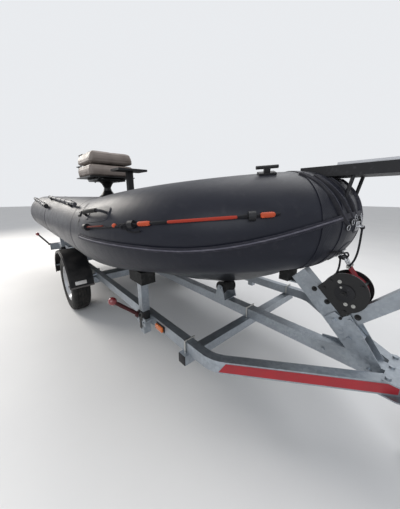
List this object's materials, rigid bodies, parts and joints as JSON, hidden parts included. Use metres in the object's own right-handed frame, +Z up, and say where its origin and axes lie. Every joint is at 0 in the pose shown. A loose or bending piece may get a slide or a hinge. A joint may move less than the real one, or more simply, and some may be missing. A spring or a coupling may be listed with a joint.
{
  "type": "inflatable boat with rigid hull on road trailer",
  "caption": "Inflatable boat with a V hull, resting on a single-axle galvanised road trailer that stands on its jockey wheel.",
  "frame": {"origin": "on the ground under the middle of the whole length and width", "axes": "+X forward to the coupling, +Y to port, +Z up"},
  "size_m": [4.71, 1.59, 1.488],
  "materials": {
    "tube_fabric": "satin",
    "hull_shell": "satin gelcoat",
    "transom_board": "satin",
    "strake": "matte",
    "fittings": "matte",
    "rope": "braided",
    "pole": "anodised aluminium",
    "grip": "satin",
    "stainless": "polished",
    "pale_plastic": "satin",
    "thwart_board": "painted",
    "black_metal": "satin black",
    "seat_vinyl": "satin vinyl",
    "instrument": "gloss",
    "galvanised": "galvanised",
    "mudguard": "satin black",
    "rubber": "matte",
    "strap": "woven",
    "lamp_red": "moulded lens",
    "tyre": "matte",
    "wheel_steel": "silver paint"
  },
  "bodies": {
    "root": {"axle": "galvanised", "bow_bands": "tube_fabric", "bow_bracket": "fittings", "bow_bracket_rail": "pale_plastic", "bow_eye": "stainless", "bow_stop": "rubber", "bow_strake": "strake", "carry_handles": "fittings", "console_posts": "fittings", "coupling": "galvanised", "cross_members": "galvanised", "display": "instrument", "drawbar": "galvanised", "eye_rope": "rope", "frame_plates": "galvanised", "grips": "grip", "hull": "hull_shell", "jockey_clamp": "galvanised", "lifelines": "rope", "light_board": "galvanised", "marker_arms": "rubber", "marker_lamps": "lamp_red", "mudguard_stays": "galvanised", "mudguards": "mudguard", "painter": "rope", "post_arm": "galvanised", "rail_port": "galvanised", "rail_starboard": "galvanised", "rear_lamps": "lamp_red", "roller_brackets": "galvanised", "seat_pedestal": "black_metal", "stowed_poles": "pole", "support_pads": "rubber", "support_posts": "galvanised", "thwart": "thwart_board", "transom": "transom_board", "tube_bow": "tube_fabric", "tube_fittings": "fittings", "tube_port": "tube_fabric", "tube_starboard": "tube_fabric", "u_bolts": "galvanised", "winch_frame": "black_metal", "winch_post": "galvanised", "winch_strap": "strap"},
    "wheel_starboard": {"tyre_starboard": "tyre", "rim_starboard": "wheel_steel", "hub_starboard": "galvanised"},
    "wheel_port": {"tyre_port": "tyre", "rim_port": "wheel_steel", "hub_port": "galvanised"},
    "jockey_leg": {"jockey_tube": "galvanised"},
    "jockey_castor": {"jockey_fork": "galvanised"},
    "jockey_roller": {"jockey_wheel": "rubber"},
    "seat": {"seat_base": "black_metal", "seat_cushion": "seat_vinyl"},
    "seat_backrest": {"seat_back": "seat_vinyl", "back_hinge": "black_metal"},
    "roller_front": {"keel_roller_front": "rubber"},
    "roller_middle": {"keel_roller_middle": "rubber"},
    "roller_rear": {"keel_roller_rear": "rubber"}
  },
  "joints": [
    {"name": "wheel_starboard_spin", "type": "hinge", "parent": "root", "child": "wheel_starboard", "pos_m": [-0.705, -0.642, 0.28], "axis": [0, 1, 0], "continuous": true},
    {"name": "wheel_port_spin", "type": "hinge", "parent": "root", "child": "wheel_port", "pos_m": [-0.705, 0.642, 0.28], "axis": [0, 1, 0], "continuous": true},
    {"name": "jockey_lift", "type": "slide", "parent": "root", "child": "jockey_leg", "axis": [0, 0, 1], "range_m": [-0.05, 0.12]},
    {"name": "jockey_swivel", "type": "hinge", "parent": "jockey_leg", "child": "jockey_castor", "pos_m": [1.895, 0.088, 0.22], "axis": [0, 0, 1], "continuous": true},
    {"name": "jockey_wheel_spin", "type": "hinge", "parent": "jockey_castor", "child": "jockey_roller", "pos_m": [1.85, 0.088, 0.1], "axis": [0, 1, 0], "continuous": true},
    {"name": "seat_swivel", "type": "hinge", "parent": "root", "child": "seat", "pos_m": [-0.505, -0.29, 1.232], "axis": [0, 0, 1], "continuous": true},
    {"name": "seat_back_fold", "type": "hinge", "parent": "seat", "child": "seat_backrest", "pos_m": [-0.737, -0.29, 1.384], "axis": [0, -1, 0], "range_deg": [0, 100]},
    {"name": "keel_roller_front_spin", "type": "hinge", "parent": "root", "child": "roller_front", "pos_m": [0.75409, 0, 0.51822], "axis": [0, 1, 0], "continuous": true},
    {"name": "keel_roller_middle_spin", "type": "hinge", "parent": "root", "child": "roller_middle", "pos_m": [-1.184, 0, 0.4247], "axis": [0, 1, 0], "continuous": true},
    {"name": "keel_roller_rear_spin", "type": "hinge", "parent": "root", "child": "roller_rear", "pos_m": [-1.874, 0, 0.4247], "axis": [0, 1, 0], "continuous": true}
  ]
}
